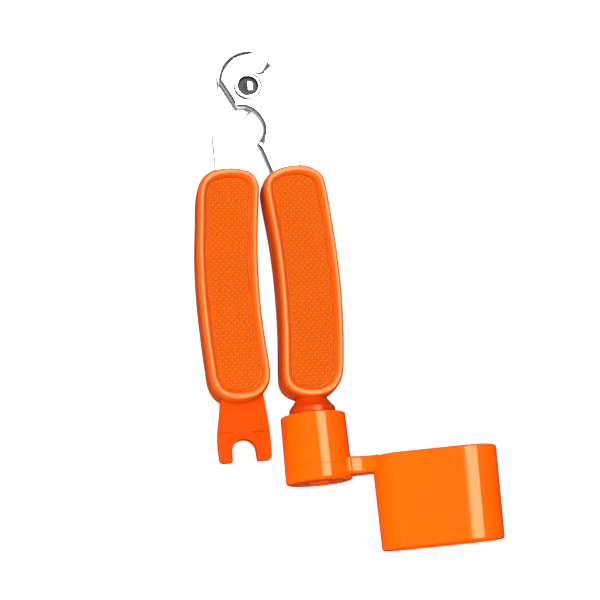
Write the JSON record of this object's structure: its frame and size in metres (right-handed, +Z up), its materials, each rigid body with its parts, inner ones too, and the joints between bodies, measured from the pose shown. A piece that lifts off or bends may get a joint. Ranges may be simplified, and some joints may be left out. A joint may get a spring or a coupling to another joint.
{
  "type": "string winder",
  "caption": "Plier-type guitar tool: a swivelling peg winder cup, a notched string cutter and a forked bridge-pin puller on two textured handles.",
  "frame": {"origin": "bottom centre of the tool's bounding box as it lies flat on a table", "axes": "+X to the right, towards the winder cup's side; +Y along the winder's swivel axis towards the jaws; +Z up, out of the front face, parallel to the jaw pivot"},
  "size_m": [0.087, 0.1664, 0.0293],
  "materials": {
    "stainless": "fine ground stamped stainless steel",
    "chrome": "bright plated rivet and washers",
    "satin_orange": "satin moulded ABS",
    "textured_orange": "moulded pad with fine diagonal pimples",
    "gloss_orange": "polished moulded ABS",
    "zinc": "zinc-plated steel"
  },
  "bodies": {
    "right_handle": {"front_blade": "stainless", "pivot_rivet": "chrome", "pivot_washer_front": "chrome", "pivot_washer_rear": "chrome", "right_handle_core": "satin_orange", "right_grip_front": "satin_orange", "right_grip_back": "satin_orange", "right_pad_front": "textured_orange", "right_pad_back": "textured_orange", "right_tang_pin_upper": "zinc", "right_tang_pin_lower": "zinc", "spindle_washer": "zinc", "spindle_screw": "zinc"},
    "left_handle": {"rear_blade": "stainless", "left_handle_core": "satin_orange", "left_grip_front": "satin_orange", "left_grip_back": "satin_orange", "left_pad_front": "textured_orange", "left_pad_back": "textured_orange", "left_tang_pin_upper": "zinc", "left_tang_pin_lower": "zinc"},
    "winder": {"winder_crank": "gloss_orange", "hub_end_cap": "gloss_orange"}
  },
  "joints": [
    {"name": "cutter_pivot", "type": "hinge", "parent": "right_handle", "child": "left_handle", "pos_m": [-0.02139, 0.07027, 0.01029], "axis": [0, 0, -1], "range_deg": [-1.8, 45]},
    {"name": "winder_swivel", "type": "hinge", "parent": "right_handle", "child": "winder", "pos_m": [-0.01059, -0.04973, 0.01029], "axis": [0, 1, 0], "continuous": true}
  ]
}
